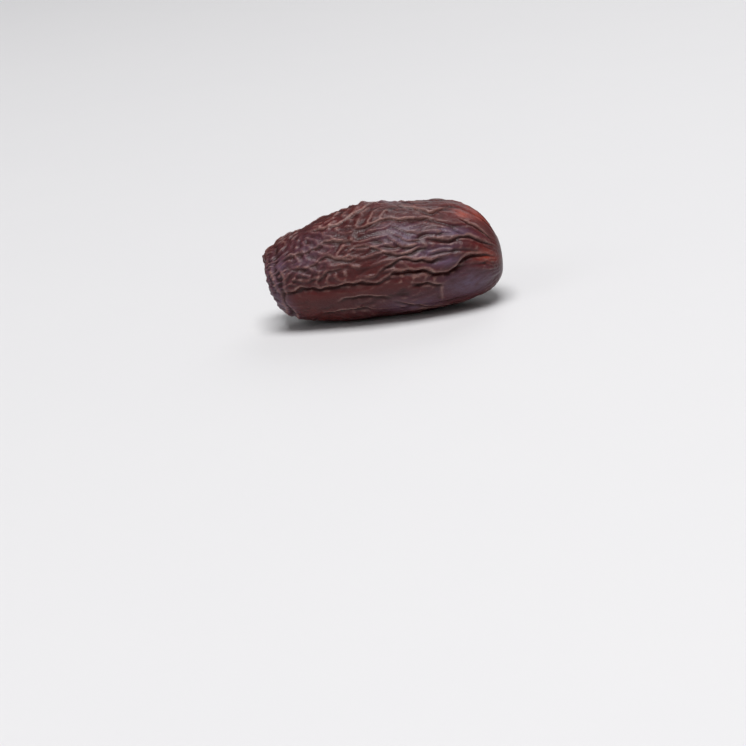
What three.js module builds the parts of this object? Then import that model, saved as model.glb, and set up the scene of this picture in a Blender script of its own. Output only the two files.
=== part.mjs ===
// A medjool date lying on its side, as one solid: the fruit with its dried, folded skin.
// Millimetres, +Z up. X runs along the fruit, from the stem end at -X to the tip at +X, and -Y is the front.
// The origin is under the middle of the fruit, on the surface that it rests on.
//
// Places on the fruit are given by a station, the distance along it from the stem end, and by an
// angle round it in degrees: 0 is the front, 90 the top, 180 the back and -90 the underside.
import * as THREE from "three";

const COLUMNS = 90; // points round the fruit
const RINGS = 56; // rings of points from the stem pit to the tip
const END_CROWDING = 0.35; // how much closer the rings stand at the two ends than in the middle
const WIDTH_SHARE = 1.05; // a cross-section's width over its height
const FLAT_DEPTH = 0.8; // how far the underside is pressed in where the fruit lies on it

// The drawn-up stem end looks down and a little to the front, and is rounded from top to bottom.
const STEM_SLOPE_DOWN = 0.2;
const STEM_SLOPE_FRONT = 0.06;
const STEM_ROUNDING = 0.04;
const STEM_HALF_HEIGHT = 7;
const STEM_REACH = 12; // the station at which the slopes have faded out

// The meridian as [station, radius]: the stem pit, the scar, the drawn-up rim, the barrel and the blunt tip.
const MERIDIAN = [
  [2.0, 0.0],
  [1.5, 0.7],
  [0.3, 1.2],
  [0.0, 2.4],
  [-0.2, 3.7],
  [-1.0, 4.7],
  [-1.3, 5.6],
  [-0.8, 6.6],
  [0.6, 7.9],
  [3.3, 9.0],
  [7.3, 10.0],
  [12.0, 10.95],
  [17.0, 11.8],
  [23.0, 12.35],
  [29.0, 12.25],
  [34.0, 11.65],
  [39.3, 11.1],
  [43.6, 9.7],
  [46.8, 7.5],
  [49.1, 4.1],
  [49.9, 0.0],
];

// The long axis is not straight: [station, height] of the middles of the cross-sections.
const AXIS_HEIGHT = [
  [0, -1.7],
  [3, -1.5],
  [7, -1.0],
  [13, -0.3],
  [21, 0.3],
  [25, 0.2],
  [30, -0.15],
  [37, 0.05],
  [41, -0.1],
  [45, -0.9],
  [48, -1.9],
  [50, -2.6],
];

// The folds that the front shows. Each is a crease with a raised lip above it: its depth, its half width
// and its lip's height in millimetres, and its path as [station, angle].
const FRONT_FOLDS = [
  // The long crease from the stem end to the tip, under its ledge.
  { depth: 0.95, width: 1, lip: 0.5, path: [[-1, -5], [6, -3], [12, -8], [17, -5], [22, -9], [25, -5]] },
  { depth: 1, width: 1.1, lip: 0.6, path: [[22, -9], [27, 0], [32, -1], [37, -9], [42, 8], [48, 9]] },
  // The two ledges over it.
  { depth: 0.75, width: 0.95, lip: 0.45, path: [[19.5, -2], [22, -1], [25, 8], [28, 13], [34, 8], [38, 13]] },
  { depth: 0.55, width: 0.9, lip: 0.35, path: [[15, 32], [20, 29], [24, 21], [27, 17], [31, 20], [35, 25]] },
  // The crease along the tip's half.
  { depth: 0.75, width: 0.95, lip: 0.35, path: [[32, 32], [35, 29], [38, 24], [42, 32], [46, 29], [49, 34]] },
  // The short creases of the lower front.
  { depth: 0.7, width: 0.9, lip: 0.2, path: [[28, -11], [32, -16], [37, -25]] },
  { depth: 0.55, width: 0.9, lip: 0.25, path: [[12, -27], [17, -23], [22, -26], [26, -29]] },
  { depth: 0.6, width: 1, lip: 0.3, path: [[25, -32], [29, -40], [33, -52], [38, -58]] },
  { depth: 0.5, width: 1, lip: 0.3, path: [[9, -42], [17, -40], [25, -47]] },
  // The folds round the bloom patch and up to the top edge.
  { depth: 0.7, width: 0.95, lip: 0.4, path: [[17, 51], [21, 49], [25, 56], [29, 55], [34, 55], [38, 45]] },
  { depth: 0.7, width: 1, lip: 0.35, path: [[27, 81], [31.5, 73], [35, 62], [40, 76]] },
  { depth: 0.45, width: 0.9, lip: 0.25, path: [[24, 42], [26, 31], [29, 24], [33, 26]] },
  { depth: 0.45, width: 1, lip: 0.25, path: [[40, 52], [43, 50], [46, 45], [49, 38]] },
  { depth: 0.8, width: 1, lip: 0.35, path: [[7, 78], [13, 66], [18, 70], [22, 84], [24, 104], [26, 122]] },
  // The winding folds of the stem end's half.
  { depth: 0.6, width: 0.9, lip: 0.35, path: [[2, 48], [9, 40], [13, 46], [17, 37], [20, 40]] },
  { depth: 0.6, width: 0.9, lip: 0.35, path: [[2, 27], [8, 22], [12, 27], [16, 19], [20, 18]] },
  { depth: 0.5, width: 0.9, lip: 0.3, path: [[3, 10], [9, 6], [13, 11], [17, 7]] },
];
const LONGEST_TAPER = 5; // a fold rises from nothing over this length, or over a share of its own length
const TAPER_SHARE = 0.35;
const LIP_AWAY = 1.7; // the lip's middle and half width, in half widths of the crease
const LIP_WIDTH = 1.2;

// The folds of the top, back and underside have the same form and are drawn by a seeded rule between
// these bounds: the station where one starts, its length, and its depth, half width and lip's height.
const HIDDEN_FOLD_COUNT = 14;
const HIDDEN_ANGLES = [95, 310];
const HIDDEN_STARTS = [3, 21];
const HIDDEN_LENGTHS = [14, 34];
const HIDDEN_DEPTHS = [0.6, 1.0];
const HIDDEN_WIDTHS = [1.0, 1.3];
const HIDDEN_LIPS = [0.25, 0.55];
const LAST_HIDDEN_STATION = 47;
const HIDDEN_STEP = 2; // stations between two points of a path
const BROAD_SWAY = { turn: 6, pace: 0.2 }; // how a path winds: degrees, and radians to a millimetre
const SMALL_SWAY = { turn: 3, pace: 0.6 };

// Low lumps under the skin, and the furrows and wrinkles that part it into plates. Each is a noise with so
// many cells round a radius of the fruit and so many cells to a millimetre along it.
const LUMPS = { height: 0.35, round: 1.2, along: 0.07 };
const FURROWS = { height: 0.55, round: 2.7, along: 0.07 };
const WRINKLES = { height: 0.3, round: 4.2, along: 0.14 };
const PUCKERS = { height: 0.45, round: 3.1, outwards: 0.3 }; // the folds that draw up the scar's border
const SWAY = { share: 0.25, round: 1.5, along: 0.11 }; // how the plates' size varies over the fruit
const VALLEY_SHARE = 0.22; // the noise value at which a valley's side ends
const MEAN_PLATE = 0.6; // the mean height of such a pattern
const RELIEF_LIMIT = 1.3; // where folds and furrows meet, their sum levels off at this height or depth

// A groove round the stem end makes its rim a double fold.
const RIM_GROOVE = { station: 1.5, width: 0.8, depth: 0.4 };

// Where the skin is stretched smooth: [station, angle, reach along in millimetres, reach round in degrees].
const CALM_PATCHES = [
  [12, -20, 12, 15], // the lower front of the stem end's half
  [42, -30, 7, 20], // the lower front of the tip
  [44, 68, 5, 20], // the swelling on the tip's upper side
];
const CALM_SHARE = 0.85; // how much of the wrinkling such a patch takes away
const RESTING_PATCH = [27, -90, 14, 26]; // the underside, which the fruit's weight has pressed smooth

const DEGREES = Math.PI / 180;
const FULL_TURN = 2 * Math.PI;

function smoothstep(from, to, value) {
  const t = THREE.MathUtils.clamp((value - from) / (to - from), 0, 1);
  return t * t * (3 - 2 * t);
}

// The value at a station of a list of [station, value], on a smooth curve through its points.
function valueAt(list, station) {
  const last = list.length - 1;
  if (station <= list[0][0]) return list[0][1];
  if (station >= list[last][0]) return list[last][1];
  let i = 0;
  while (list[i + 1][0] < station) i++;
  const slopeAt = (k) => {
    const [from, low] = list[Math.max(k - 1, 0)];
    const [to, high] = list[Math.min(k + 1, last)];
    return (high - low) / (to - from);
  };
  const span = list[i + 1][0] - list[i][0];
  const t = (station - list[i][0]) / span;
  const rest = 1 - t;
  const values = rest * rest * (1 + 2 * t) * list[i][1] + t * t * (3 - 2 * t) * list[i + 1][1];
  return values + span * t * rest * (rest * slopeAt(i) - t * slopeAt(i + 1));
}

// The turn from one angle to another, from -180 to 180 degrees.
function turnBetween(from, to) {
  return THREE.MathUtils.euclideanModulo(to - from + 180, 360) - 180;
}

// A repeatable draw from 0 to 1 for a number, by the digits far behind the point of a large sine.
function draw(n) {
  const value = Math.sin(n * 12.9898 + 4.1414) * 43758.5453;
  return value - Math.floor(value);
}

// Gradient noise from about -1 to 1, with a drawn slope at each whole-numbered point of space.
function noise(x, y, z) {
  const corner = [Math.floor(x), Math.floor(y), Math.floor(z)];
  const inside = [x - corner[0], y - corner[1], z - corner[2]];
  const ease = inside.map((t) => t * t * t * (t * (6 * t - 15) + 10));
  let total = 0;
  for (let c = 0; c < 8; c++) {
    const step = [c & 1, (c >> 1) & 1, (c >> 2) & 1];
    const [a, b, d] = corner.map((value, i) => value + step[i]);
    const name = a * 17.17 + b * 59.31 + d * 113.97;
    let weight = 1;
    let rise = 0;
    for (let i = 0; i < 3; i++) {
      weight *= step[i] ? ease[i] : 1 - ease[i];
      rise += (2 * draw(name + 7.77 * i) - 1) * (inside[i] - step[i]);
    }
    total += weight * rise;
  }
  return 1.6 * total;
}

function hiddenFold(index) {
  const share = (n) => draw(31 * index + n);
  const between = ([from, to], part) => from + (to - from) * part;
  const middle = between(HIDDEN_ANGLES, (index + share(1)) / HIDDEN_FOLD_COUNT);
  const start = between(HIDDEN_STARTS, share(2));
  const end = Math.min(start + between(HIDDEN_LENGTHS, share(3)), LAST_HIDDEN_STATION);
  const path = [];
  for (let station = start; station <= end; station += HIDDEN_STEP) {
    const broad = BROAD_SWAY.turn * Math.sin(BROAD_SWAY.pace * station + FULL_TURN * share(4));
    const small = SMALL_SWAY.turn * Math.sin(SMALL_SWAY.pace * station + FULL_TURN * share(5));
    path.push([station, middle + broad + small]);
  }
  const depth = between(HIDDEN_DEPTHS, share(6));
  const width = between(HIDDEN_WIDTHS, share(7));
  const lip = between(HIDDEN_LIPS, share(8));
  return { depth, width, lip, path };
}

const folds = [...FRONT_FOLDS];
for (let index = 0; index < HIDDEN_FOLD_COUNT; index++) folds.push(hiddenFold(index));

// How far one fold raises the skin at a place, negative in its crease.
function foldRelief(fold, station, angle, radius) {
  const start = fold.path[0][0];
  const end = fold.path[fold.path.length - 1][0];
  const taper = Math.min(TAPER_SHARE * (end - start), LONGEST_TAPER);
  const strength = smoothstep(start, start + taper, station) * (1 - smoothstep(end - taper, end, station));
  if (strength === 0) return 0;
  const away = turnBetween(valueAt(fold.path, station), angle) * DEGREES * radius;
  const crease = Math.exp(-((away / fold.width) ** 2));
  const lip = Math.exp(-(((away - LIP_AWAY * fold.width) / (LIP_WIDTH * fold.width)) ** 2));
  return strength * (fold.lip * lip - fold.depth * crease);
}

// How far a place is in a patch: 1 in its middle, falling to 0 outside its reach.
function within([middle, turn, reachAlong, reachRound], station, angle) {
  return Math.exp(-(((station - middle) / reachAlong) ** 2) - (turnBetween(turn, angle) / reachRound) ** 2);
}

// How wrinkled the skin is at a place: 1, and less in the calm patches.
function liveliness(station, angle) {
  return CALM_PATCHES.reduce((share, patch) => share * (1 - CALM_SHARE * within(patch, station, angle)), 1);
}

// Rounded plates between narrow valleys, from 0 in a valley to 1 on a plate.
function plates(pattern, round, station, sway) {
  const across = pattern.round * (1 + SWAY.share * sway);
  const value = noise(across * round[0], across * round[1], pattern.along * station + 3 * pattern.round);
  return 1 - Math.exp(-((value / VALLEY_SHARE) ** 2));
}

// All the relief at a place, over the plain meridian.
function relief(station, angle, radius) {
  const round = [Math.cos(angle * DEGREES), Math.sin(angle * DEGREES)];
  const body = smoothstep(4.5, 7.5, radius);
  const lumps = noise(LUMPS.round * round[0], LUMPS.round * round[1], LUMPS.along * station + 9);
  const sway = noise(SWAY.round * round[0] + 5, SWAY.round * round[1], SWAY.along * station);
  const furrows = FURROWS.height * (plates(FURROWS, round, station, sway) - MEAN_PLATE);
  const wrinkles = WRINKLES.height * (plates(WRINKLES, round, station, sway) - MEAN_PLATE);
  const groove = RIM_GROOVE.depth * Math.exp(-(((station - RIM_GROOVE.station) / RIM_GROOVE.width) ** 2));
  let folded = liveliness(station, angle) * (furrows + wrinkles) - groove;
  for (const fold of folds) folded += foldRelief(fold, station, angle, radius);
  folded *= 1 - within(RESTING_PATCH, station, angle);
  let total = body * (LUMPS.height * lumps + RELIEF_LIMIT * Math.tanh(folded / RELIEF_LIMIT));
  if (station < STEM_REACH) {
    const border = smoothstep(2.5, 4.2, radius) * (1 - smoothstep(6.2, 8.5, radius));
    const pucker = noise(PUCKERS.round * round[0], PUCKERS.round * round[1], PUCKERS.outwards * radius);
    total += PUCKERS.height * border * pucker;
  }
  return total;
}

const meridian = new THREE.SplineCurve(MERIDIAN.map(([x, y]) => new THREE.Vector2(x, y)));
meridian.arcLengthDivisions = 800;

// The surface at a share of the way along the meridian, and at an angle round the fruit.
function surfacePoint(share, angle) {
  const at = meridian.getPointAt(share);
  const slope = meridian.getTangentAt(share);
  const station = at.x;
  const raise = relief(station, angle, at.y);
  const reach = at.y + raise * slope.x;
  const y = -WIDTH_SHARE * reach * Math.cos(angle * DEGREES);
  const z = reach * Math.sin(angle * DEGREES) + valueAt(AXIS_HEIGHT, station);
  const rise = STEM_HALF_HEIGHT * Math.tanh((z - AXIS_HEIGHT[0][1]) / STEM_HALF_HEIGHT);
  const lean = STEM_SLOPE_DOWN * rise - STEM_ROUNDING * rise * rise + STEM_SLOPE_FRONT * y;
  const atStem = 1 - smoothstep(0, STEM_REACH, station);
  return [station - raise * slope.y - lean * atStem, y, z];
}

// The skin as rings of points between the stem pit's bottom and the tip.
function dateGeometry() {
  const points = [surfacePoint(0, 0)];
  for (let ring = 1; ring <= RINGS; ring++) {
    const even = ring / (RINGS + 1);
    const share = even - (END_CROWDING * Math.sin(FULL_TURN * even)) / FULL_TURN;
    for (let column = 0; column < COLUMNS; column++) {
      points.push(surfacePoint(share, (360 * column) / COLUMNS));
    }
  }
  points.push(surfacePoint(1, 0));
  const tip = points.length - 1;
  const faces = [];
  for (let column = 0; column < COLUMNS; column++) {
    const next = (column + 1) % COLUMNS;
    faces.push(0, 1 + column, 1 + next);
    for (let ring = 0; ring < RINGS - 1; ring++) {
      const a = 1 + ring * COLUMNS + column;
      const b = 1 + ring * COLUMNS + next;
      faces.push(a, a + COLUMNS, b + COLUMNS, a, b + COLUMNS, b);
    }
    faces.push(tip, tip - COLUMNS + next, tip - COLUMNS + column);
  }
  const geometry = new THREE.BufferGeometry();
  geometry.setAttribute("position", new THREE.Float32BufferAttribute(points.flat(), 3));
  geometry.setIndex(faces);
  layOnItsFlat(geometry);
  geometry.computeVertexNormals();
  return geometry;
}

// The underside is pressed flat where the fruit lies, and the box's bottom middle becomes the origin.
function layOnItsFlat(geometry) {
  const place = geometry.getAttribute("position");
  geometry.computeBoundingBox();
  const floor = geometry.boundingBox.min.z + FLAT_DEPTH;
  for (let i = 0; i < place.count; i++) place.setZ(i, Math.max(place.getZ(i), floor));
  geometry.computeBoundingBox();
  const { min, max } = geometry.boundingBox;
  geometry.translate(-(min.x + max.x) / 2, -(min.y + max.y) / 2, -min.z);
}

const skin = new THREE.MeshStandardMaterial({ color: 0x3b1d18, roughness: 0.45, metalness: 0 });
const date = new THREE.Mesh(dateGeometry(), skin);
date.name = "date";

const part = new THREE.Group();
part.add(date);
export default part;
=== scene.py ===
# %% [markdown]
# # A medjool date
#
# This lesson dresses one dried date. The real thing is a single soft fruit: a thin waxy skin that has
# folded, buckled and stuck to the shrinking flesh. Nearly all of its look is in that skin, so most of
# the lesson is about two things, the relief of the skin and how light meets it.
#
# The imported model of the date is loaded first. It fixes the size and the place of everything here.

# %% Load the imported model
import math

import bpy
import numpy as np
from mathutils import Matrix, Vector


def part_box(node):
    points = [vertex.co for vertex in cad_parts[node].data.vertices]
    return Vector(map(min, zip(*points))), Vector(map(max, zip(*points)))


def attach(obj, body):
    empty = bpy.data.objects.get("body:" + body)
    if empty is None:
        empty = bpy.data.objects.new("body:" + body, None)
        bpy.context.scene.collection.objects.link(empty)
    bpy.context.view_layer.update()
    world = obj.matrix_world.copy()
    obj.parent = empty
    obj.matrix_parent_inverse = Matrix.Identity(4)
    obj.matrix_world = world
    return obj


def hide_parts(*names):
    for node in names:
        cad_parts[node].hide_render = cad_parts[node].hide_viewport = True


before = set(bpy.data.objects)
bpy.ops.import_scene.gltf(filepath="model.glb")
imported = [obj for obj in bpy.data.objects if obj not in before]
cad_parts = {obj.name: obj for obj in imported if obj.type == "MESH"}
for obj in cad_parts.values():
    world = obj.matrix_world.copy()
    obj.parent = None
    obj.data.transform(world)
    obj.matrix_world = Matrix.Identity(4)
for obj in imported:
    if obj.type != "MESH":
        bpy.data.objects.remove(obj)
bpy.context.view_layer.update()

date_low, date_high = (np.array(corner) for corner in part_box("date"))
print("the date measures", ((date_high - date_low) * 1000).round(1), "mm")

# %% [markdown]
# ## The camera
#
# The view comes first, because it tells which side of the date needs the most care. The photograph was
# taken from about 17 degrees above the table with a fairly long lens, and the date slopes up to the
# right by 7.5 degrees. Here the date lies level, so the camera is rolled instead. A long lens from a
# little under half a metre away keeps the perspective as mild as it is in the photograph.
#
# The date is small in the photograph's square frame. It stands well above the middle and a little to the
# right of it. Shifting the lens would do, but aiming the camera past the date by the same share of the
# frame needs nothing special of the lens, so that is done here.

# %% Place the camera
FRAME_PIXELS = 746
DATE_LENGTH_PIXELS = 239
DATE_MIDDLE_PIXELS = (382.0, 257.2)
VIEW_ELEVATION = math.radians(17)
VIEW_ROLL = math.radians(7.5)
LENS = 100.0
SENSOR = 36.0
CLIP_START = 0.01

date_length = float(date_high[0] - date_low[0])
metres_per_pixel = date_length / DATE_LENGTH_PIXELS
view_distance = LENS / SENSOR * FRAME_PIXELS * metres_per_pixel
toward_camera = Vector((0, -math.cos(VIEW_ELEVATION), math.sin(VIEW_ELEVATION)))
upright = toward_camera.to_track_quat("Z", "Y")
camera_turn = upright.to_matrix() @ Matrix.Rotation(-VIEW_ROLL, 3, "Z")
image_right = camera_turn.col[0]
image_up = camera_turn.col[1]

date_middle = Vector((date_low + date_high) / 2)
pixels_right = DATE_MIDDLE_PIXELS[0] - FRAME_PIXELS / 2
pixels_up = FRAME_PIXELS / 2 - DATE_MIDDLE_PIXELS[1]
aim = date_middle - metres_per_pixel * (pixels_right * image_right + pixels_up * image_up)

camera_data = bpy.data.cameras.new("view_camera")
camera_data.lens = LENS
camera_data.sensor_width = SENSOR
camera_data.clip_start = CLIP_START
camera = bpy.data.objects.new("view_camera", camera_data)
camera.matrix_world = Matrix.Translation(aim + toward_camera * view_distance) @ camera_turn.to_4x4()
bpy.context.scene.collection.objects.link(camera)
bpy.context.scene.camera = camera
print("the camera stands", round(view_distance, 3), "m away")

# %% [markdown]
# ## The form under the wrinkles
#
# A date is nearly a body of revolution: one outline from the stem scar to the tip, turned about a long
# axis that sags a little. It could be modelled by pushing the points of a subdivided sphere about, but
# the relief of the next steps wants to know two things at every point, how far along the fruit it is and
# how far round it. So the surface is a map with those two directions, and every later step is a formula
# on that map.
#
# A place's station is its distance along the fruit from the stem end, in millimetres. Its angle goes round
# the fruit in degrees: 0 is the front, 90 the top, 180 the back and -90 the underside. Lengths stay in
# millimetres until the mesh is made.

# %% Draw the outline of the date
MERIDIAN = np.array([
    # station, radius: the stem pit, the scar, the drawn-up rim, the barrel and the blunt tip
    (2.0, 0.0), (1.5, 0.7), (0.3, 1.2), (0.0, 2.4), (-0.2, 3.7), (-1.0, 4.7), (-1.3, 5.6),
    (-0.8, 6.6), (0.6, 7.9), (3.3, 9.0), (7.3, 10.0), (12.0, 10.95), (17.0, 11.8), (23.0, 12.35),
    (29.0, 12.25), (34.0, 11.65), (39.3, 11.1), (43.6, 9.7), (46.8, 7.5), (49.1, 4.1), (49.9, 0.0),
])
OUTLINE_STEPS = 8000


def curve_through(points, t):
    """Points on a smooth curve through the given ones, for t from 0 to 1."""
    last = len(points) - 1
    place = np.clip(t, 0, 1) * last
    at = np.minimum(place.astype(int), last - 1)
    w = (place - at)[:, None]
    before, start, end, after = (points[np.clip(at + k, 0, last)] for k in (-1, 0, 1, 2))
    leave = (end - before) / 2
    arrive = (after - start) / 2
    cubic = 2 * start - 2 * end + leave + arrive
    square = 3 * end - 3 * start - 2 * leave - arrive
    return ((cubic * w + square) * w + leave) * w + start


outline = curve_through(MERIDIAN, np.linspace(0, 1, OUTLINE_STEPS + 1))
steps = np.hypot(*np.diff(outline, axis=0).T)
distance = np.concatenate([[0], np.cumsum(steps)])
skin_length = distance[-1]
print("from scar to tip the skin measures", round(float(skin_length), 1), "mm")

# %% [markdown]
# The map gets a ring of points about every 0.3 millimetres, and round the widest rings a point every fifth
# of a millimetre, about as fine as the camera can see. The rings stand closer at the two ends, where the
# outline turns fastest.

# %% Lay out the map of the skin
COLUMNS = 420
RINGS = 234
END_CROWDING = 0.35

even = np.arange(RINGS + 2) / (RINGS + 1)
ring_share = even - END_CROWDING * np.sin(2 * np.pi * even) / (2 * np.pi)
ring_distance = ring_share * skin_length
ring_station = np.interp(ring_distance, distance, outline[:, 0])
ring_radius = np.interp(ring_distance, distance, outline[:, 1])
tangent_station = np.interp(ring_distance, distance, np.gradient(outline[:, 0], distance))
tangent_radius = np.interp(ring_distance, distance, np.gradient(outline[:, 1], distance))

angles = np.arange(COLUMNS) * 360.0 / COLUMNS
STATION, ANGLE = np.meshgrid(ring_station, angles, indexing="ij")
RADIUS = np.repeat(ring_radius[:, None], COLUMNS, axis=1)
SHARE = np.repeat(ring_share[:, None], COLUMNS, axis=1)
ROUND_X = np.cos(np.radians(ANGLE))
ROUND_Y = np.sin(np.radians(ANGLE))
print("the map has", STATION.size, "points")

# %% [markdown]
# Four small helpers serve all the reliefs: an eased step, a bell, the turn from one angle to another, and a
# value read off a smooth curve through a few named places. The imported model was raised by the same
# formulas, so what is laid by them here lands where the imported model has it.

# %% Helpers for places on the map
def smoothstep(start, end, value):
    t = np.clip((value - start) / (end - start), 0, 1)
    return t * t * (3 - 2 * t)


def bell(value, width):
    return np.exp(-((value / width) ** 2))


def turn_between(start, end):
    """The turn from one angle to another, from -180 to 180 degrees."""
    return (end - start + 180) % 360 - 180


def value_at(path, station):
    """The value at each station of a list of (station, value), on a smooth curve through its points."""
    x, y = np.array(path, float).T
    last = len(x) - 1
    place = np.arange(last + 1)
    following = np.minimum(place + 1, last)
    before = np.maximum(place - 1, 0)
    slopes = (y[following] - y[before]) / (x[following] - x[before])
    s = np.clip(station, x[0], x[-1])
    i = np.clip(np.searchsorted(x, s, side="left") - 1, 0, last - 1)
    span = x[i + 1] - x[i]
    t = (s - x[i]) / span
    rest = 1 - t
    values = rest * rest * (1 + 2 * t) * y[i] + t * t * (3 - 2 * t) * y[i + 1]
    return values + span * t * rest * (rest * slopes[i] - t * slopes[i + 1])


print("from 350 to 10 degrees is a turn of", turn_between(350, 10), "degrees")

# %% [markdown]
# ## The main folds
#
# As the flesh dries, it shrinks more than the skin, and the skin is left too large. It gathers in long
# folds from stem to tip. Each is a crease with a raised lip above it. The ones that the photograph shows
# are laid where it shows them, as short lists of places on the map. A rule with a fixed seed draws the
# ones on the hidden sides. A brush in sculpt mode could do the same, but a list can be read and changed.

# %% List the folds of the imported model
FRONT_FOLDS = [
    # depth, half width, lip height, [(station, angle), ...]
    # The long crease from the stem end to the tip, under its ledge.
    (0.95, 1.0, 0.5, [(-1, -5), (6, -3), (12, -8), (17, -5), (22, -9), (25, -5)]),
    (1.0, 1.1, 0.6, [(22, -9), (27, 0), (32, -1), (37, -9), (42, 8), (48, 9)]),
    # The two ledges over it.
    (0.75, 0.95, 0.45, [(19.5, -2), (22, -1), (25, 8), (28, 13), (34, 8), (38, 13)]),
    (0.55, 0.9, 0.35, [(15, 32), (20, 29), (24, 21), (27, 17), (31, 20), (35, 25)]),
    # The crease along the tip's half.
    (0.75, 0.95, 0.35, [(32, 32), (35, 29), (38, 24), (42, 32), (46, 29), (49, 34)]),
    # The short creases of the lower front.
    (0.7, 0.9, 0.2, [(28, -11), (32, -16), (37, -25)]),
    (0.55, 0.9, 0.25, [(12, -27), (17, -23), (22, -26), (26, -29)]),
    (0.6, 1.0, 0.3, [(25, -32), (29, -40), (33, -52), (38, -58)]),
    (0.5, 1.0, 0.3, [(9, -42), (17, -40), (25, -47)]),
    # The folds round the bloom patch and up to the top edge.
    (0.7, 0.95, 0.4, [(17, 51), (21, 49), (25, 56), (29, 55), (34, 55), (38, 45)]),
    (0.7, 1.0, 0.35, [(27, 81), (31.5, 73), (35, 62), (40, 76)]),
    (0.45, 0.9, 0.25, [(24, 42), (26, 31), (29, 24), (33, 26)]),
    (0.45, 1.0, 0.25, [(40, 52), (43, 50), (46, 45), (49, 38)]),
    (0.8, 1.0, 0.35, [(7, 78), (13, 66), (18, 70), (22, 84), (24, 104), (26, 122)]),
    # The winding folds of the stem end's half.
    (0.6, 0.9, 0.35, [(2, 48), (9, 40), (13, 46), (17, 37), (20, 40)]),
    (0.6, 0.9, 0.35, [(2, 27), (8, 22), (12, 27), (16, 19), (20, 18)]),
    (0.5, 0.9, 0.3, [(3, 10), (9, 6), (13, 11), (17, 7)]),
]
HIDDEN_FOLD_COUNT = 14
HIDDEN_ANGLES = (95, 310)
HIDDEN_STARTS = (3, 21)
HIDDEN_LENGTHS = (14, 34)
HIDDEN_DEPTHS = (0.6, 1.0)
HIDDEN_WIDTHS = (1.0, 1.3)
HIDDEN_LIPS = (0.25, 0.55)
LAST_HIDDEN_STATION = 47
HIDDEN_STEP = 2
BROAD_SWAY = dict(turn=6, pace=0.2)
SMALL_SWAY = dict(turn=3, pace=0.6)


def draw(n):
    """A repeatable draw from 0 to 1 for a number."""
    value = np.sin(n * 12.9898 + 4.1414) * 43758.5453
    return value - np.floor(value)


def between(bounds, part):
    return bounds[0] + (bounds[1] - bounds[0]) * part


def hidden_fold(index):
    """A fold of a hidden side: its depth, half width, lip height and path, all drawn from its number."""
    def drawn(n):
        return float(draw(31 * index + n))

    middle = between(HIDDEN_ANGLES, (index + drawn(1)) / HIDDEN_FOLD_COUNT)
    start = between(HIDDEN_STARTS, drawn(2))
    end = min(start + between(HIDDEN_LENGTHS, drawn(3)), LAST_HIDDEN_STATION)
    stations = np.arange(start, end, HIDDEN_STEP)
    broad = BROAD_SWAY["turn"] * np.sin(BROAD_SWAY["pace"] * stations + 2 * math.pi * drawn(4))
    small = SMALL_SWAY["turn"] * np.sin(SMALL_SWAY["pace"] * stations + 2 * math.pi * drawn(5))
    path = list(zip(stations, middle + broad + small))
    depth = between(HIDDEN_DEPTHS, drawn(6))
    width = between(HIDDEN_WIDTHS, drawn(7))
    lip = between(HIDDEN_LIPS, drawn(8))
    return depth, width, lip, path


folds = FRONT_FOLDS + [hidden_fold(index) for index in range(HIDDEN_FOLD_COUNT)]
print(len(folds), "folds,", HIDDEN_FOLD_COUNT, "of them on the hidden sides")

# %% [markdown]
# Nothing on a fruit runs as evenly as these lists. Gradient noise breaks them up: a random slope at each
# corner of a grid in space, blended smoothly between the corners. It is read on a circle for the way
# round the fruit, so that the pattern closes without a seam. The same noise serves most later steps, each
# time read at another place, so that no two patterns are alike.

# %% Gradient noise on the map
CORNER_STRIDES = (17.17, 59.31, 113.97)
SLOPE_STRIDE = 7.77
NOISE_HEIGHT = 1.6
SHAKE = dict(height=0.45, round=5, along=0.45)


def noise(x, y, z):
    """Gradient noise from about -1 to 1."""
    corner = [np.floor(v) for v in (x, y, z)]
    inside = [v - c for v, c in zip((x, y, z), corner)]
    ease = [t * t * t * (t * (6 * t - 15) + 10) for t in inside]
    total = 0
    for c in range(8):
        step = (c & 1, (c >> 1) & 1, (c >> 2) & 1)
        name = sum((corner[i] + step[i]) * CORNER_STRIDES[i] for i in range(3))
        weight = 1
        rise = 0
        for i in range(3):
            weight = weight * (ease[i] if step[i] else 1 - ease[i])
            rise = rise + (2 * draw(name + SLOPE_STRIDE * i) - 1) * (inside[i] - step[i])
        total = total + weight * rise
    return NOISE_HEIGHT * total


def skin_noise(across, along, place=(0, 0, 0)):
    """Noise over the skin, of so many cells across a radius of the fruit and to a millimetre along it."""
    x, y, z = place
    return noise(across * ROUND_X + x, across * ROUND_Y + y, along * STATION + z)


shake = SHAKE["height"] * skin_noise(SHAKE["round"], SHAKE["along"], (3, 0, 0))
print("the folds are shaken by up to", np.abs(shake).max().round(2), "mm")

# %% [markdown]
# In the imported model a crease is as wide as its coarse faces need. A real one is a narrow slit. Right above
# it the skin stands up in a sharp edge with a thin pale bead, and then falls slowly back to the body, like
# a shelf. Each fold is given that cross-section, measured square to its path, so that it keeps its width
# where the path runs at a slant. Widths are told in shares of the fold's own half width, and heights in
# shares of its own depth and lip.
#
# The photograph also shows faint ripples in the wax of the upper front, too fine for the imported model.
# They are added to the list here as shallow folds of the same kind.

# %% Fold the skin
RIPPLES = [
    # depth, half width, lip height, [(station, angle), ...]
    (0.3, 0.6, 0.16, [(24.5, 47), (26.5, 38), (29.5, 31), (33.5, 32)]),
    (0.3, 0.6, 0.16, [(26, 50), (28.5, 43), (31, 38), (34.5, 38)]),
    (0.25, 0.6, 0.14, [(23, 35), (25, 27), (27.5, 20)]),
]
TAPER_SHARE = 0.35
LONGEST_TAPER = 5
SLIT = dict(width=0.32, depth=0.55)
TROUGH = dict(width=1.2, depth=0.4)
EDGE_PLACE = 0.48
BEAD = dict(width=0.24, height=0.2)
SHELF = dict(length=2.2, height=0.8)
SLOPE_STEP = 0.2
STEEPEST = 2.0


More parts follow.
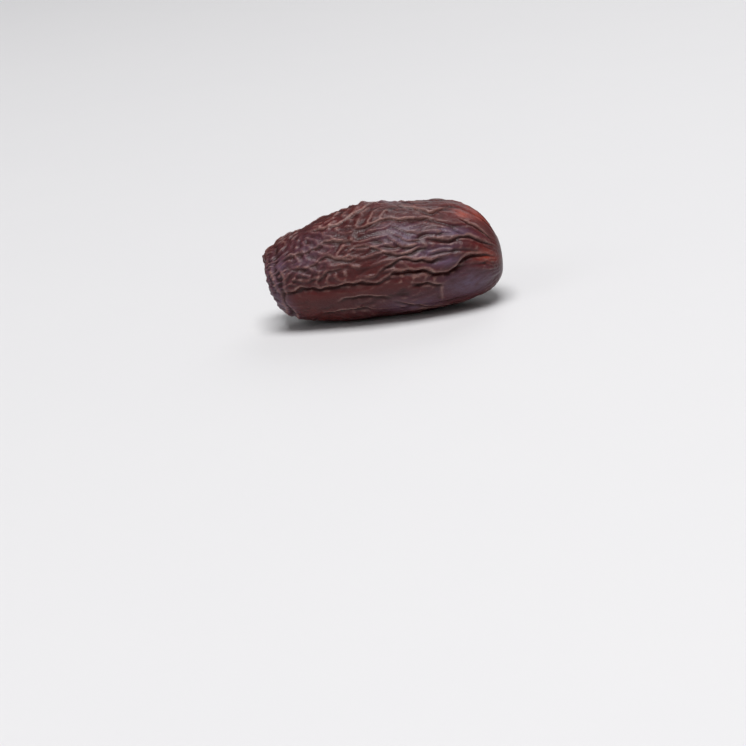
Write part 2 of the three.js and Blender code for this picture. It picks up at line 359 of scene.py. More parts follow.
def fold_relief(fold):
    """How far a fold raises the skin, how deep in its slit a place is, and how near its ledge's edge."""
    depth, width, lip, path = fold
    start = path[0][0]
    end = path[-1][0]
    taper = min(TAPER_SHARE * (end - start), LONGEST_TAPER)
    strength = smoothstep(start, start + taper, STATION) * (1 - smoothstep(end - taper, end, STATION))
    slope = np.radians(value_at(path, STATION + SLOPE_STEP) - value_at(path, STATION)) / SLOPE_STEP
    slant = np.hypot(1, np.clip(slope * RADIUS, -STEEPEST, STEEPEST))
    away = (np.radians(turn_between(value_at(path, STATION), ANGLE)) * RADIUS + shake) / (width * slant)
    past_edge = away - EDGE_PLACE
    slit = bell(away, SLIT["width"])
    trough = bell(away, TROUGH["width"])
    bead = bell(past_edge, BEAD["width"])
    shelf = smoothstep(0.0, EDGE_PLACE, away) * np.exp(-np.maximum(past_edge, 0) / SHELF["length"])
    raised = lip * (SHELF["height"] * shelf + BEAD["height"] * bead)
    raised = raised - depth * (SLIT["depth"] * slit + TROUGH["depth"] * trough)
    return strength * raised, strength * slit * min(depth, 1), strength * bead


fold_height = np.zeros_like(STATION)
slit_mask = np.zeros_like(STATION)
ledge_mask = np.zeros_like(STATION)
for fold in folds + RIPPLES:
    raised, slit, ledge = fold_relief(fold)
    fold_height += raised
    slit_mask = np.maximum(slit_mask, slit)
    ledge_mask = np.maximum(ledge_mask, ledge)
print("the folds reach from", fold_height.min().round(2), "to", fold_height.max().round(2), "mm")

# %% [markdown]
# ## Lumps and furrows
#
# Under the folds the flesh is lumpy, and broad furrows part the skin into plates. Plain noise gives the
# lumps. The plates come from the same noise: wherever it crosses zero, a narrow valley is cut, and the
# ground between the valleys stays level.

# %% Lumps, furrows and broad wrinkles
LUMPS = dict(height=0.35, round=1.2, along=0.07)
FURROWS = dict(height=0.55, round=2.7, along=0.07)
WRINKLES = dict(height=0.3, round=4.2, along=0.14)
SWAY = dict(share=0.25, round=1.5, along=0.11)
VALLEY_SHARE = 0.22
MEAN_PLATE = 0.6

lumps = LUMPS["height"] * skin_noise(LUMPS["round"], LUMPS["along"], (0, 0, 9))
sway = skin_noise(SWAY["round"], SWAY["along"], (5, 0, 0))


def plates(pattern):
    """Level plates between narrow valleys, in millimetres about their mean height."""
    across = pattern["round"] * (1 + SWAY["share"] * sway)
    value = skin_noise(across, pattern["along"], (0, 0, 3 * pattern["round"]))
    return pattern["height"] * (1 - bell(value, VALLEY_SHARE) - MEAN_PLATE)


furrows = plates(FURROWS)
wrinkles = plates(WRINKLES)
print("the furrows are cut", np.ptp(furrows).round(2), "mm deep")

# %% [markdown]
# ## Fine wrinkles
#
# The fine wrinkles aren't random. A stiff skin on a soft, shrinking core buckles at one natural spacing,
# and the folds then wander, fork and end in each other. A known equation of pattern making does the
# same: a field grows wherever it has that spacing, is held back everywhere else, and settles. Solved on
# the map it gives forks and endings that noise can't.
#
# Stretch draws the wrinkles out along the fruit, and straightness keeps them from turning across it. With
# pebbles the field breaks up into dots or pits. The long and the tiny wrinkles are left to settle. The fine
# ones are stopped early, while they are still curly and broken like those by the stem.

# %% Let the skin buckle
PATTERN_ROWS = 384
PATTERN_COLUMNS = 432
MIDDLE_RADIUS = 11
ROUND_LENGTH = 2 * math.pi * MIDDLE_RADIUS
FIRST_UNREST = 0.3
GROWTH = 0.7
TIME_STEP = 0.6
SETTLED = 220
FULL_HEIGHT_PERCENT = 96


def buckle(seed, spacing, stretch, straightness, pebbles, steps=SETTLED):
    """A field of wrinkles from about -1 to 1, a spacing in millimetres apart, drawn out along by stretch."""
    rng = np.random.default_rng(seed)
    along = np.fft.fftfreq(PATTERN_ROWS, skin_length / PATTERN_ROWS)[:, None]
    across = np.fft.rfftfreq(PATTERN_COLUMNS, ROUND_LENGTH / PATTERN_COLUMNS)[None, :]
    ratio = spacing * spacing * (across**2 + (stretch * along) ** 2)
    held_back = (1 - ratio) ** 2 + straightness * (spacing * stretch * along) ** 2
    field = FIRST_UNREST * rng.standard_normal((PATTERN_ROWS, PATTERN_COLUMNS))
    for _ in range(steps):
        push = GROWTH * field + pebbles * field**2 - field**3
        waves = np.fft.rfft2(field + TIME_STEP * push) / (1 + TIME_STEP * held_back)
        field = np.fft.irfft2(waves, s=field.shape)
    return field / np.percentile(field, FULL_HEIGHT_PERCENT)


long_wrinkles = buckle(seed=11, spacing=2.6, stretch=3.2, straightness=0.05, pebbles=0.0)
fine_wrinkles = buckle(seed=5, spacing=1.6, stretch=1.3, straightness=0.0, pebbles=-0.15, steps=30)
tiny_wrinkles = buckle(seed=23, spacing=0.95, stretch=2.0, straightness=0.0, pebbles=0.1)
print("the wrinkle fields are", long_wrinkles.shape, "points")

# %% [markdown]
# The fields are flat sheets of the same width everywhere, and the fruit isn't: towards its ends the rings
# shrink, and a sheet wrapped round them is squeezed one way only. For the fine and the tiny wrinkles the
# steps along the sheet grow as the rings shrink, so the wrinkles get smaller there but keep their shape.
# Near the very ends that would go too far, so below a smallest radius the steps grow no more.
#
# Warping the map a little before reading the fields keeps the wrinkles from running too evenly.

# %% Wrap the fields round the fruit
SMALLEST_RADIUS = 4
WARP_ALONG = 0.012
WARP_ROUND = 4.0
TINY_WARP_SHARE = 1.7

shrinking = MIDDLE_RADIUS / np.maximum(ring_radius, SMALLEST_RADIUS)
ring_steps = np.diff(ring_distance)
pattern_distance = np.concatenate([[0], np.cumsum(ring_steps * (shrinking[1:] + shrinking[:-1]) / 2)])
PATTERN_SHARE = np.repeat(pattern_distance[:, None] / skin_length, COLUMNS, axis=1)


def read_field(field, share, angle):
    """The field's value at each place, blended between its four nearest points."""
    row = share * PATTERN_ROWS
    column = (angle % 360) / 360 * PATTERN_COLUMNS
    r0 = np.floor(row).astype(int)
    c0 = np.floor(column).astype(int)
    r = row - r0
    c = column - c0
    value = 0
    for dr, wr in ((0, 1 - r), (1, r)):
        for dc, wc in ((0, 1 - c), (1, c)):
            value = value + wr * wc * field[(r0 + dr) % PATTERN_ROWS, (c0 + dc) % PATTERN_COLUMNS]
    return value


warp_along = WARP_ALONG * skin_noise(2.1, 0.13, (31, 0, 0))
warp_round = WARP_ROUND * skin_noise(2.1, 0.12, (0, 17, 0))
long_field = read_field(long_wrinkles, SHARE + warp_along, ANGLE + warp_round)
fine_field = read_field(fine_wrinkles, PATTERN_SHARE + warp_along, ANGLE + warp_round)
tiny_field = read_field(tiny_wrinkles, PATTERN_SHARE + warp_along, ANGLE + TINY_WARP_SHARE * warp_round)
print("the map is warped by up to", np.abs(warp_round).max().round(1), "degrees")

# %% [markdown]
# Where each kind shows is taken from the photograph: small winding wrinkles on the upper side of the stem
# end's half, long drawn-out ones towards the tip, and tight smooth skin low on the front and on the
# swelling by the tip. Patches with soft borders say where the skin is calm. Two more noises thin the
# wrinkles out here and there, since the real ones crowd in places and nearly vanish in others.

# %% Share the wrinkles out
CALM_PATCHES = [
    # station, angle, reach along in millimetres, reach round in degrees
    (12, -20, 12, 15),
    (42, -30, 7, 20),
    (44, 68, 5, 20),
    (28, 38, 4, 9),
]
CALM_SHARE = 0.85
LONG = dict(height=0.21, pinch=1.8, level=0.25)
FINE = dict(height=0.55, pinch=2.4, level=0.2)
TINY = dict(height=0.08, pinch=1.5, level=0.3)
FIELD_LIMIT = 1.2
WRINKLE_LIMIT = 0.38
STEM_HALF = (20, 33)
TIP_SWELLING = (38, 46)
END_RADII = (0.5, 7)


def within(patch):
    """1 in the middle of a patch, falling to 0 outside its reach."""
    middle, turn, reach_along, reach_round = patch[:4]
    off_along = (STATION - middle) / reach_along
    off_round = turn_between(turn, ANGLE) / reach_round
    return np.exp(-(off_along**2) - off_round**2)


def wrinkle_height(kind, field, share=1):
    """The height of one kind of wrinkles: narrow crests with wide valleys between them."""
    crests = np.exp(kind["pinch"] * (np.clip(field, -FIELD_LIMIT, FIELD_LIMIT) - 1))
    return kind["height"] * share * (crests - kind["level"])


calm = np.ones_like(STATION)
for patch in CALM_PATCHES:
    calm *= 1 - CALM_SHARE * within(patch)

stem_half = 1 - smoothstep(*STEM_HALF, STATION)
upper_side = smoothstep(-0.15, 0.3, np.sin(np.radians(ANGLE + 6)))
winding = stem_half * upper_side
off_the_ends = smoothstep(*END_RADII, RADIUS)
patchy = skin_noise(2.4, 0.09, (50, 0, 0))
uneven = skin_noise(4.5, 0.35, (0, 60, 0))

fine_share = np.clip(0.12 + 0.88 * winding + 0.3 * patchy, 0.04, 1)
fine_share *= np.clip(0.8 + 1.1 * uneven, 0.2, 1.3)
long_share = np.clip(0.85 - 0.8 * winding + 0.4 * patchy, 0.05, 1)
long_share *= 0.85 - 0.5 * uneven
long_share *= 1 - 0.5 * smoothstep(*TIP_SWELLING, STATION)

all_wrinkles = wrinkle_height(LONG, long_field, long_share) + wrinkle_height(FINE, fine_field, fine_share)
all_wrinkles = off_the_ends * (all_wrinkles + wrinkle_height(TINY, tiny_field))
all_wrinkles = WRINKLE_LIMIT * np.tanh(all_wrinkles / WRINKLE_LIMIT)
print("wrinkles add up to", all_wrinkles.max().round(2), "mm")

# %% [markdown]
# ## The step and the rim
#
# Two folds of the photograph run across the fruit, which the lists of folds can't say. Low on the front,
# the skin of the tip's half laps over its neighbour in one short step. And the border of the stem end is
# doubled: a groove runs round it, with a narrow fold on each side, and the two wind apart and together like
# a braid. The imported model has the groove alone, and a plainer one. The step and the braid are too low for
# its faces, but the eye finds them at once.

# %% Lay the step and the rim
LAP_STATION = 35.5
LAP_ANGLES = (-44, -17)
LAP_MIDDLE = -30
LAP_SLANT = 0.03
LAP_HEIGHT = 0.3
LAP_RISE = (-0.5, 0.1)
LAP_FALL = 3
LAP_EDGE = dict(share=0.6, width=0.3)
RIM_ANGLES = (-130, 50)
RIM_EASE = 30
RIM_WANDER = 0.9
RIM_GROOVE = dict(station=0.9, width=0.7, depth=0.5)
RIM_BRAID = dict(gap=1.0, width=0.28, height=0.22, turns=5)

past_lap = STATION - LAP_STATION - LAP_SLANT * turn_between(LAP_MIDDLE, ANGLE) - shake
lap_reach = smoothstep(0, 8, turn_between(LAP_ANGLES[0], ANGLE))
lap_reach *= smoothstep(0, 6, turn_between(ANGLE, LAP_ANGLES[1]))
lap = LAP_HEIGHT * lap_reach * smoothstep(*LAP_RISE, past_lap)
lap *= np.exp(-np.maximum(past_lap, 0) / LAP_FALL)
ledge_mask = np.maximum(ledge_mask, LAP_EDGE["share"] * lap_reach * bell(past_lap, LAP_EDGE["width"]))

rim_shake = skin_noise(2.2, 0, (0, 0, 70))
past_groove = STATION - RIM_GROOVE["station"] - RIM_WANDER * rim_shake
rim_groove = RIM_GROOVE["depth"] * bell(past_groove, RIM_GROOVE["width"])
rim_reach = smoothstep(0, RIM_EASE, turn_between(RIM_ANGLES[0], ANGLE))
rim_reach *= smoothstep(0, RIM_EASE, turn_between(ANGLE, RIM_ANGLES[1]))
rim_braid = RIM_BRAID["gap"] * (0.75 + 0.35 * np.sin(np.radians(RIM_BRAID["turns"] * ANGLE)))
rim_folds = rim_reach * bell(np.abs(past_groove) - rim_braid, RIM_BRAID["width"])
ledge_mask = np.maximum(ledge_mask, 0.8 * rim_folds)
print("the step stands", lap.max().round(2), "mm high")

# %% [markdown]
# ## All the relief
#
# The reliefs are summed, smoothed away where the date rests, held to a limit where folds meet, and faded
# out at the scar. Where the winding wrinkles are, the furrows and main folds give way a little, because
# the photograph shows no long lines there.

# %% Sum the relief
RESTING_PATCH = (27, -90, 14, 26)
RELIEF_LIMIT = 1.3
UNEVEN_HEIGHT = 0.2
BODY_RADII = (4.5, 7.5)
PLATE_SHARE = 0.65
PLATES_LOST = 0.45
FOLDS_LOST = 0.5

body = smoothstep(*BODY_RADII, RADIUS)
plate_share = PLATE_SHARE - PLATES_LOST * winding
fold_share = 1 - FOLDS_LOST * winding
folded = calm * (plate_share * (furrows + wrinkles) + all_wrinkles) + fold_share * fold_height
folded -= (0.8 + 0.5 * rim_shake) * rim_groove
folded += UNEVEN_HEIGHT * winding * uneven
folded += lap
folded += RIM_BRAID["height"] * rim_folds
folded *= 1 - within(RESTING_PATCH)
raise_skin = body * (lumps + RELIEF_LIMIT * np.tanh(folded / RELIEF_LIMIT))
print("the relief reaches from", raise_skin.min().round(2), "to", raise_skin.max().round(2), "mm")

# %% [markdown]
# The two ends have reliefs of their own. Where the fruit hung from its stalk there is a bare scar, drawn
# up in puckers, with a lumpy and fibrous floor. At the other end a shallow dimple marks the tip.

# %% Shape the scar and the tip
STEM_REACH = 12
BORDER_INNER = (2.5, 4.2)
BORDER_OUTER = (6.2, 8.5)
PUCKERS = dict(height=0.45, round=3.1, outwards=0.3)
SCAR_FLOOR = (0.3, 2.0)
SCAR_GRAIN_HEIGHT = 0.32
SCAR_FIBRE_HEIGHT = 0.14
SCAR_FIBRE_SCALE = 2.7
TIP_STATION = 40
DIMPLE = dict(depth=0.25, width=1.8)
TIP_SPOT_WIDTH = 0.8

stem_side = STATION < STEM_REACH
at_scar = stem_side * (1 - smoothstep(*BORDER_OUTER, RADIUS))
border = at_scar * smoothstep(*BORDER_INNER, RADIUS)
pucker_x = PUCKERS["round"] * ROUND_X
pucker_y = PUCKERS["round"] * ROUND_Y
raise_skin += PUCKERS["height"] * border * noise(pucker_x, pucker_y, PUCKERS["outwards"] * RADIUS)
scar_grain = skin_noise(RADIUS, 0, (0, 0, 40))
scar_fibre = skin_noise(SCAR_FIBRE_SCALE * RADIUS, 0, (0, 0, 80))
scar_relief = SCAR_GRAIN_HEIGHT * scar_grain + SCAR_FIBRE_HEIGHT * scar_fibre
raise_skin += at_scar * smoothstep(*SCAR_FLOOR, RADIUS) * scar_relief

at_tip = STATION > TIP_STATION
tip_spot = at_tip * bell(RADIUS, TIP_SPOT_WIDTH)
raise_skin -= DIMPLE["depth"] * at_tip * bell(RADIUS, DIMPLE["width"])
print("the scar's grain reaches", np.abs(at_scar * scar_relief).max().round(2), "mm")

# %% [markdown]
# ## From the map to space
#
# Now every place on the map becomes a point in space: out from the axis along the outline's own normal,
# squashed flat where the date rests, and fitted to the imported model's box, which this finer skin may not
# leave. The drawn-up stem end looks down and a little to the front, so its points lean that way.

# %% Turn the map into points
AXIS_HEIGHT = [
    # station, height of the cross-section's middle
    (0, -1.7), (3, -1.5), (7, -1.0), (13, -0.3), (21, 0.3), (25, 0.2),
    (30, -0.15), (37, 0.05), (41, -0.1), (45, -0.9), (48, -1.9), (50, -2.6),
]
WIDTH_SHARE = 1.05
FLAT_DEPTH = 0.8
STEM_SLOPE_DOWN = 0.2
STEM_SLOPE_FRONT = 0.06
STEM_ROUNDING = 0.04
STEM_HALF_HEIGHT = 7


def to_space(raise_by):
    """The point in space, in millimetres, of every place on the map once the skin is raised there."""
    station = STATION - raise_by * tangent_radius[:, None]
    reach = RADIUS + raise_by * tangent_station[:, None]
    y = -WIDTH_SHARE * reach * ROUND_X
    z = reach * ROUND_Y + value_at(AXIS_HEIGHT, STATION)
    rise = STEM_HALF_HEIGHT * np.tanh((z - AXIS_HEIGHT[0][1]) / STEM_HALF_HEIGHT)
    lean = STEM_SLOPE_DOWN * rise - STEM_ROUNDING * rise**2 + STEM_SLOPE_FRONT * y
    x = station - lean * (1 - smoothstep(0, STEM_REACH, STATION))
    return np.stack([x, y, z], axis=-1)


points = to_space(raise_skin)
floor = points[..., 2].min() + FLAT_DEPTH
points[..., 2] = np.maximum(points[..., 2], floor)
low = points.min(axis=(0, 1))
high = points.max(axis=(0, 1))
fit = (date_high - date_low) * 1000 / (high - low)
points = (points - low) * fit / 1000 + date_low
print("fitted to the packed box by", fit.round(3))

# %% [markdown]
# The points are joined ring by ring into four-sided faces, and each end is closed with a fan of triangles
# round one point. A grid like this could also come from a subdivided cylinder, but building it from the
# map keeps every point's place on the map known, and the masks and the unrolling below rely on that.

# %% Build the mesh
def ring_mesh(name, grid):
    """A closed mesh from rings of points, with one point at each end."""
    inner = grid[1:-1].reshape(-1, 3)
    vertices = np.vstack([grid[0].mean(0), inner, grid[-1].mean(0)])
    tip = len(vertices) - 1
    column = np.arange(COLUMNS)
    following = (column + 1) % COLUMNS
    faces = []
    faces += [(0, 1 + a, 1 + b) for a, b in zip(column, following)]
    for ring in range(RINGS - 1):
        start = 1 + ring * COLUMNS
        above = start + COLUMNS
        faces += [(start + a, above + a, above + b, start + b) for a, b in zip(column, following)]
    start = 1 + (RINGS - 1) * COLUMNS
    faces += [(tip, start + b, start + a) for a, b in zip(column, following)]
    mesh = bpy.data.meshes.new(name)
    mesh.from_pydata(vertices.tolist(), [], [tuple(int(v) for v in face) for face in faces])
    mesh.validate()
    mesh.polygons.foreach_set("use_smooth", np.ones(len(mesh.polygons), bool))
    return mesh


skin_mesh = ring_mesh("date_skin", points)
date_skin = bpy.data.objects.new("date_skin", skin_mesh)
bpy.context.scene.collection.objects.link(date_skin)
triangles = sum(len(face.vertices) - 2 for face in skin_mesh.polygons)
print("the skin has", triangles, "triangles")

# %% [markdown]
# ## Where the colours go
#
# The colours follow masks, numbers from 0 to 1 that say how much of a colour each place gets. Three of
# them are taken from the photograph: where the wax bloom lies, which also carries painted sheen, where
# light shines through thin amber flesh, and where the skin is pressed smooth and red, as in the long band
# under the main fold, which also carries painted shade over the lower front. Brushing them on would do.
# Lists of soft patches are used, since they stay true when the mesh gets finer.

# %% Place the patches of bloom and painted sheen, glow, and pressed skin and painted shade
# wax bloom and painted sheen: the lavender patches also stand in for the shine of the wax
BLOOM_AND_SHEEN_PATCHES = [
    # station, angle, reach along, reach round, strength
    (28.5, 38, 5, 13, 1.2),
    (38.5, 36, 4.5, 6, 1.5),
    (33, 18, 5.5, 7, 0.9),
    (37, 20, 3, 9, 0.8),
    (37, 5, 3.5, 5, 1.1),
    (41.5, -28, 6, 17, 1.2),
    (29, -42, 7, 14, 0.8),
    (8, 42, 6, 26, 0.55),
    (0.0, -20, 2.2, 70, 0.95),
    (1.0, 40, 2.6, 22, 0.9),
    (27, 104, 4, 14, 0.6),
    (21, 200, 9, 30, 0.6),
    (34, 150, 7, 22, 0.5),
]
GLOW_PATCHES = [
    (42.5, 67, 4.2, 15, 0.7),
    (41.8, 63, 2.0, 8, 1.0),
    (45.2, 75, 1.7, 8, 1.0),
    (45, 88, 4, 24, 0.8),
    (47, 40, 3, 18, 0.4),
    (46.0, 9, 3.5, 16, 0.85),
    (13.5, 74, 2.6, 9, 0.45),
    (20, 82, 2.4, 6, 0.4),
    (40, 200, 5, 22, 0.5),
    (6, 170, 4, 30, 0.4),
]
# pressed red skin and painted shade: the wide patch low on the front darkens it as if shaded
PRESSED_AND_SHADE_PATCHES = [
    (9, -15, 9, 8, 0.9),
    (18, -15, 6, 7, 0.75),
    (27, -13, 4, 6, 0.8),
    (12, 82, 2.2, 8, 0.6),
    (15, 63, 2.0, 7, 0.6),
    (20, -62, 26, 22, 0.5),
]


def patches(spots):
    total = np.zeros_like(STATION)
    for spot in spots:
        total = np.maximum(total, spot[4] * within(spot))
    return total


bloom_and_sheen_mask = patches(BLOOM_AND_SHEEN_PATCHES)
print("the bloom covers", round(100 * float((bloom_and_sheen_mask > 0.5).mean())), "percent of the map")

# %% [markdown]
# The other masks need no eye. The relief already knows where its creases and ridges are: how deep a place
# lies under its surroundings, how sharply it stands out, and how near it is to the slits and ledges of
# the folds. The scar's torn edge and its pit are rings with a wavering radius. All the masks are kept on
# the mesh under names, and the material reads them by those.

# %% Work out the masks and keep them on the mesh
HOLLOW = dict(finest=0.08, around=0.7)
HOLLOW_DEPTH = 0.15
CREST = dict(finest=0.07, around=0.3)
CREST_HEIGHTS = (0.015, 0.09)
SCAR_WAVER = 0.28
SCAR_RADII = (3.4, 3.8)
SCAR_EDGE_RADIUS = 3.75
SCAR_EDGE_WIDTH = 0.3
PIT_RADII = (0.8, 2.3)


def blurred(field, reach):
    """A field smoothed over a reach in millimetres on the map."""
    along = np.fft.fftfreq(field.shape[0], skin_length / field.shape[0])[:, None]
    across = np.fft.rfftfreq(field.shape[1], ROUND_LENGTH / field.shape[1])[None, :]
    keep = np.exp(-2 * (math.pi * reach) ** 2 * (along**2 + across**2))
    return np.fft.irfft2(np.fft.rfft2(field) * keep, s=field.shape)


def standing_out(finest, around):
    """How far each place stands out from its surroundings, in millimetres."""
    return blurred(raise_skin, finest) - blurred(raise_skin, around)


def keep_mask(mesh, name, values):
    """Keeps one number for each point of the mesh under a name."""
    per_point = np.concatenate([[values[0].mean()], values[1:-1].ravel(), [values[-1].mean()]])
    layer = mesh.attributes.new(name, "FLOAT", "POINT")
    layer.data.foreach_set("value", per_point.astype(np.float32))


scar_reach = RADIUS * (1 + SCAR_WAVER * skin_noise(1.9, 0, (0, 0, 20))) + 0.5 * scar_fibre
scar_ring = bell(scar_reach - SCAR_EDGE_RADIUS, SCAR_EDGE_WIDTH)
masks = {
    # painted shade: the hollow and slit masks darken the creases
    "hollow": np.clip(-standing_out(**HOLLOW) / HOLLOW_DEPTH, 0, 1),
    # the crest and ledge masks are paled partly as wear and partly as painted highlight
    "crest": smoothstep(*CREST_HEIGHTS, standing_out(**CREST)),
    "slit": slit_mask,
    "ledge": ledge_mask,
    # the bloom mask carries the wax bloom and painted sheen
    "bloom_and_sheen": bloom_and_sheen_mask,
    "glow": patches(GLOW_PATCHES),
    # the pressed mask is red pressed skin with painted shade over the lower front
    "pressed_and_shade": patches(PRESSED_AND_SHADE_PATCHES),
    "scar": stem_side * (1 - smoothstep(*SCAR_RADII, scar_reach)),
    "scar_edge": stem_side * scar_ring * (0.7 + 0.5 * scar_grain),
    "pit": np.maximum(stem_side * (1 - smoothstep(*PIT_RADII, scar_reach)), tip_spot),
}
for name, values in masks.items():
    keep_mask(skin_mesh, name, values)
print("masks:", ", ".join(masks))

# %% [markdown]
# A natural solid has no seams of its own, so the skin is unrolled with its cut along the front, where the
# map begins: round the fruit to the right and along it upwards. Nothing below paints on it. It is there
# for whoever bakes the finish into pictures.

# %% Unroll the skin for later paint
def unroll(mesh):
    """A map named for baking: round the fruit to the right, along it upwards."""
    layer = mesh.uv_layers.new(name="OFBake")
    corner_point = np.zeros(len(mesh.loops), int)
    mesh.loops.foreach_get("vertex_index", corner_point)
    ring = np.where(corner_point == 0, 0, (corner_point - 1) // COLUMNS + 1)
    column = (corner_point - 1) % COLUMNS
    across = column / COLUMNS
    along = ring_share[np.minimum(ring, RINGS + 1)]
    starts = np.zeros(len(mesh.polygons), int)
    sizes = np.zeros(len(mesh.polygons), int)
    mesh.polygons.foreach_get("loop_start", starts)
    mesh.polygons.foreach_get("loop_total", sizes)
    poles = (corner_point == 0) | (corner_point == len(mesh.vertices) - 1)
    for start, size in zip(starts, sizes):
        corners = slice(start, start + size)
        own = across[corners]
        real = ~poles[corners]
        if own[real].max() - own[real].min() > 0.5:
            own[real] = np.where(own[real] < 0.5, own[real] + 1, own[real])
        own[~real] = own[real].mean()
        across[corners] = own
    layer.data.foreach_set("uv", np.stack([across, along], axis=1).astype(np.float32).ravel())


unroll(skin_mesh)
print("the skin is unrolled on", skin_mesh.uv_layers[0].name)

# %% [markdown]
# ## Materials
#
# A small helper keeps the node code readable. Each effect that more than one material uses is a node
# group with named inputs and outputs. Here that is mottling: two sizes of noise mixed, which breaks up
# the skin's colour and, very faintly, the colour of the table.

# %% Helpers for nodes
def add(tree, kind, **settings):
    """Adds a node. Settings name its properties, or its inputs when written with a leading capital."""
    node = tree.nodes.new(kind)
    for key, value in settings.items():
        if hasattr(node, key):
            setattr(node, key, value)
        else:
            node.inputs[key.replace("_", " ")].default_value = value
    return node


def mottling_group():
    """Noise of two sizes, given out as one mask from 0 to 1."""
    group = bpy.data.node_groups.new("mottling", "ShaderNodeTree")
    defaults = {"Large Scale": 150.0, "Small Scale": 900.0, "Small Share": 0.4, "Contrast": 1.5}
    for label, default in defaults.items():
        socket = group.interface.new_socket(label, in_out="INPUT", socket_type="NodeSocketFloat")
        socket.default_value = default
    group.interface.new_socket("Vector", in_out="INPUT", socket_type="NodeSocketVector")
    group.interface.new_socket("Mask", in_out="OUTPUT", socket_type="NodeSocketFloat")
    inside = add(group, "NodeGroupInput")
    outside = add(group, "NodeGroupOutput")
    large = add(group, "ShaderNodeTexNoise", Detail=3.0, Roughness=0.55)
    small = add(group, "ShaderNodeTexNoise", Detail=4.0, Roughness=0.6)
    blend = add(group, "ShaderNodeMix", data_type="FLOAT")
    centre = add(group, "ShaderNodeMath", operation="SUBTRACT")
    centre.inputs[1].default_value = 0.5
    spread = add(group, "ShaderNodeMath", operation="MULTIPLY_ADD", use_clamp=True)
    spread.inputs[2].default_value = 0.5
    link = group.links.new
    link(inside.outputs["Vector"], large.inputs["Vector"])
    link(inside.outputs["Vector"], small.inputs["Vector"])
    link(inside.outputs["Large Scale"], large.inputs["Scale"])
    link(inside.outputs["Small Scale"], small.inputs["Scale"])
    link(inside.outputs["Small Share"], blend.inputs["Factor"])
    link(large.outputs["Fac"], blend.inputs["A"])
    link(small.outputs["Fac"], blend.inputs["B"])
    link(blend.outputs["Result"], centre.inputs[0])
    link(centre.outputs[0], spread.inputs[0])
    link(inside.outputs["Contrast"], spread.inputs[1])
    link(spread.outputs[0], outside.inputs["Mask"])
    return group


mottling = mottling_group()
print("the mottling group takes", len(mottling.interface.items_tree) - 1, "inputs")

# %% [markdown]
# Colours are laid over one another by masks, the way a painter glazes. Three helpers do that: one lays a
# colour over another, one multiplies two masks, and one fetches a mask from the mesh. A fourth places
# the mottling group in a material with that material's own values.

# %% Helpers for layers of colour
def mixed(tree, below, above, mask, share=1.0):
    """Lays one colour over another where a mask says so. Colours are sockets or plain values."""
    factor = mask
    if share != 1.0:
        scale = add(tree, "ShaderNodeMath", operation="MULTIPLY", use_clamp=True)
        scale.inputs[1].default_value = share
        tree.links.new(mask, scale.inputs[0])
        factor = scale.outputs[0]
    layer = add(tree, "ShaderNodeMix", data_type="RGBA")
    tree.links.new(factor, layer.inputs["Factor"])
    for socket, colour in ((layer.inputs[6], below), (layer.inputs[7], above)):
        if isinstance(colour, tuple):
            socket.default_value = (*colour, 1)
        else:
            tree.links.new(colour, socket)
    return layer.outputs[2]


def product(tree, a, b):
    """One mask times another."""
    node = add(tree, "ShaderNodeMath", operation="MULTIPLY", use_clamp=True)
    tree.links.new(a, node.inputs[0])
    tree.links.new(b, node.inputs[1])
    return node.outputs[0]


def mask_named(tree, name):
    return add(tree, "ShaderNodeAttribute", attribute_name=name).outputs["Fac"]


def mottled(tree, vector, large, small, small_share, contrast):
    values = dict(Large_Scale=large, Small_Scale=small, Small_Share=small_share, Contrast=contrast)
    node = add(tree, "ShaderNodeGroup", node_tree=mottling, **values)
    tree.links.new(vector, node.inputs["Vector"])
    return node.outputs["Mask"]


print("masks ready for the layers:", len(masks))

# %% [markdown]
# ## The skin's finish
#
# The real skin is thin, dark and waxy. Its colour is laid down in layers: maroon flesh with plum clouds,
# red where the skin is stretched thin over it with a painted pink highlight on the thinnest part, clear red
# where it is pressed smooth with painted shade over the lower front, and a thin lavender bloom of wax over
# that, which also carries painted sheen. Hollows and slits get painted shade, a deep red, and the crests
# and the folds' edges are painted pale, partly as wear and partly as painted highlight. One picture of the
# whole skin could hold all this, but layers can be changed one by one and stay sharp close up.

# %% Lay down the skin's colour
MAROON = (0.108, 0.0130, 0.0100)
DEEP_MAROON = (0.036, 0.0045, 0.0048)
PLUM = (0.038, 0.009, 0.015)
# the next two colours are painted shade for the hollows and the slits of the folds
HOLLOW_SHADE_RED = (0.024, 0.0022, 0.0020)
SLIT_SHADE_RED = (0.042, 0.0035, 0.0028)
# a deep red for pressed skin, also used as painted shade on the lower front
PRESSED_RED_AND_SHADE = (0.088, 0.0055, 0.0040)
# the pale of the crests is partly wear of the wax and partly painted highlight
WORN_AND_LIT_CREST = (0.27, 0.145, 0.125)
THIN_RED = (0.17, 0.010, 0.005)
# painted highlight: the pink laid on the thinnest, glossiest part of the glow
PINK_HIGHLIGHT = (0.36, 0.060, 0.032)
# the lavender of the wax bloom, which also serves as painted sheen
BLOOM_AND_SHEEN_LAVENDER = (0.115, 0.072, 0.118)
SCAR_AMBER = (0.26, 0.085, 0.022)
SCAR_CREAM = (0.42, 0.27, 0.15)
PIT_BROWN = (0.035, 0.013, 0.008)


